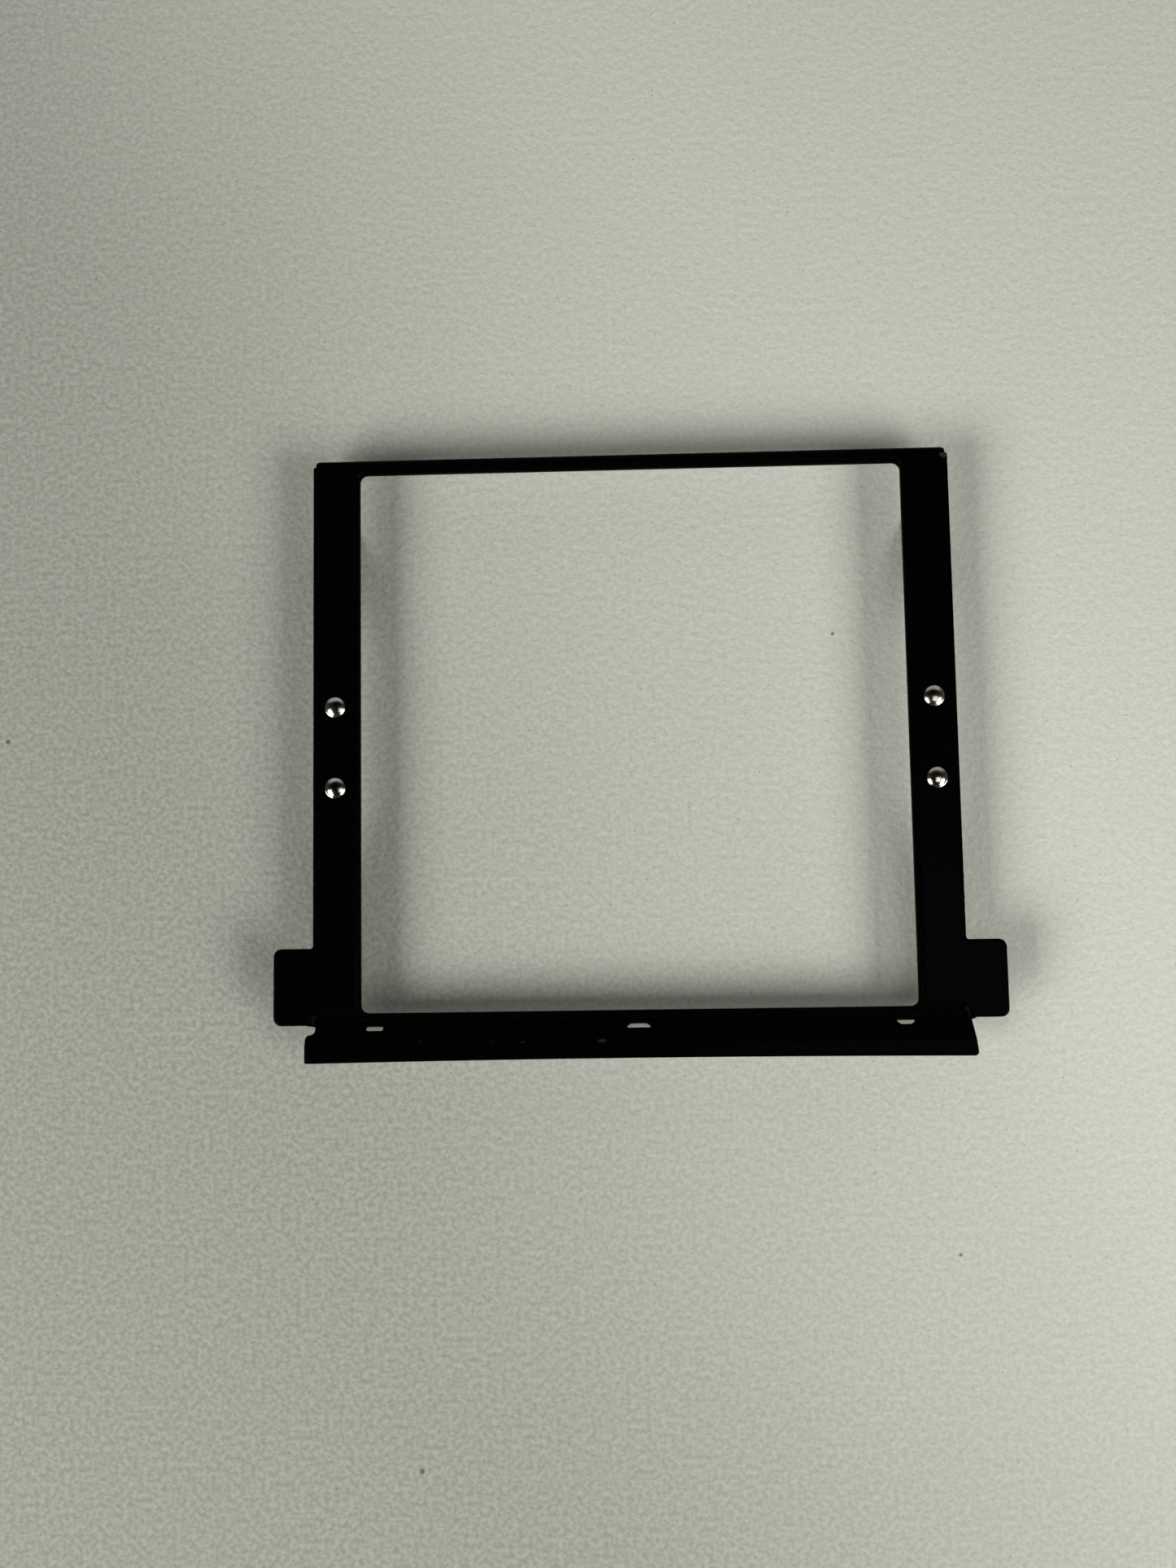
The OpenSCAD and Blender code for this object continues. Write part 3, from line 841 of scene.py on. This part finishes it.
def scattered_dots(tree, pitch_mm, rarity, reach):
    """Round dots in some cells: rarity is the share of cells without, reach a dot's radius in cells."""
    cells = node(tree, "ShaderNodeTexVoronoi", {"Vector": object_coords(tree),
                                                "Scale": 1 / (pitch_mm * MM)})
    colour = node(tree, "ShaderNodeSeparateColor", {0: cells.outputs["Color"]}).outputs[0]
    dot = spread(tree, cells.outputs["Distance"], 0.75 * reach, 1.25 * reach, 1, 0)
    return product(tree, spread(tree, colour, rarity, rarity + 0.02), dot)


def floor_painted_shade(tree):
    """The paper's main colour with painted shade standing in for uneven light: darker to the left and to
    the front, with faint clouds.
    """
    dark, light = (0.265, 0.274, 0.222), (0.560, 0.575, 0.487)
    cloud = noise(tree, 60.0, 2, seed=13.0)
    place = node(tree, "ShaderNodeSeparateXYZ", {0: object_coords(tree)}).outputs
    side = total(tree, product(tree, place["X"], 1.3), spread(tree, cloud, 0, 1, -0.012, 0.012))
    side = total(tree, side, product(tree, place["Y"], 0.7))
    return mixed(tree, spread(tree, side, -0.078, 0.068), dark, light)


def floor_paper():
    """Pale grey-green paper with a fine leathery emboss and dark flecks, on a main colour with painted
    shade.
    """
    shade, shine, fleck = (0.30, 0.31, 0.26), (0.85, 0.86, 0.78), (0.03, 0.03, 0.025)
    material, tree, shader = new_material("pale_embossed_paper")
    pebble, fibre = noise(tree, 0.8, 2, seed=11.0), noise(tree, 0.28, seed=12.0)
    grain = noise(tree, 0.5, seed=14.0)
    # The main colour carries painted shade, darker to the left and to the front.
    fine = mixed(tree, spread(tree, fibre, 0.3, 0.7, 0, 0.14), floor_painted_shade(tree), shade)
    fine = mixed(tree, spread(tree, grain, 0.3, 0.7, 0, 0.18), fine, shine)
    for pitch_mm, rarity, reach, share in FLECKS:
        flecks = product(tree, scattered_dots(tree, pitch_mm, rarity, reach), share)
        fine = mixed(tree, flecks, fine, fleck)
    height = total(tree, pebble, product(tree, fibre, 0.25))
    set_shader(tree, shader, Base_Color=fine, Roughness=0.75, Normal=bump(tree, height, 0.09))
    return material


# ------------------------------------------------------------ floor, light and camera

def add_floor(material):
    """A flat square under the object."""
    corners = [(sx * FLOOR_HALF, sy * FLOOR_HALF, 0) for sx, sy in SQUARE]
    obj = add_mesh("floor", np.array(corners, float), [np.array([[0, 1, 2, 3]])])
    obj.data.materials.append(material)


def add_light(name, direction, far, width, length, watts):
    """A soft light that far from the origin and facing it, its length running front to back."""
    data = bpy.data.lights.new(name, "AREA")
    data.shape, data.size, data.size_y, data.energy = "RECTANGLE", width, length, watts
    obj = bpy.data.objects.new(name, data)
    towards = Vector(direction).normalized()
    along = (Vector((0, 1, 0)) - towards * towards.y).normalized()
    turn = Matrix((along.cross(towards), along, towards)).transposed().to_4x4()
    obj.matrix_world = Matrix.Translation(towards * far) @ turn
    bpy.context.scene.collection.objects.link(obj)


def add_world():
    """Dim surroundings, dark overhead, paler towards the horizon and most of all at the rear."""
    world = bpy.data.worlds.new("dim_room")
    bpy.context.scene.world = world
    world.use_nodes = True
    tree = world.node_tree
    view = node(tree, "ShaderNodeTexCoord").outputs["Generated"]
    towards = node(tree, "ShaderNodeSeparateXYZ", {0: view}).outputs
    around = spread(tree, towards["Z"], 0.3, 0.85, 0.04, 0.002)
    rear = product(tree, spread(tree, towards["Y"], 0.45, 0.85),
                   spread(tree, towards["Z"], 0.35, 0.70, 0.48, 0))
    background = tree.nodes["Background"]
    background.inputs["Color"].default_value = (1, 1, 1, 1)
    tree.links.new(total(tree, around, rear), background.inputs["Strength"])


def add_camera():
    """The camera, with nothing out of focus."""
    data = bpy.data.cameras.new("camera")
    data.lens, data.sensor_width, data.clip_start = CAMERA_LENS, CAMERA_SENSOR, 0.01
    obj = bpy.data.objects.new("camera", data)
    obj.location = [c * MM for c in CAMERA_AT]
    obj.rotation_euler = [math.radians(a) for a in CAMERA_TURN]
    bpy.context.scene.collection.objects.link(obj)
    bpy.context.scene.camera = obj


add_plate(black_paint())
add_rivets(rivet_nickel())
add_springs(spring_steel())
add_floor(floor_paper())
for light, settings in LIGHTS.items():
    add_light(light, *settings)
add_world()
add_camera()
bpy.context.scene.view_settings.view_transform = "Standard"
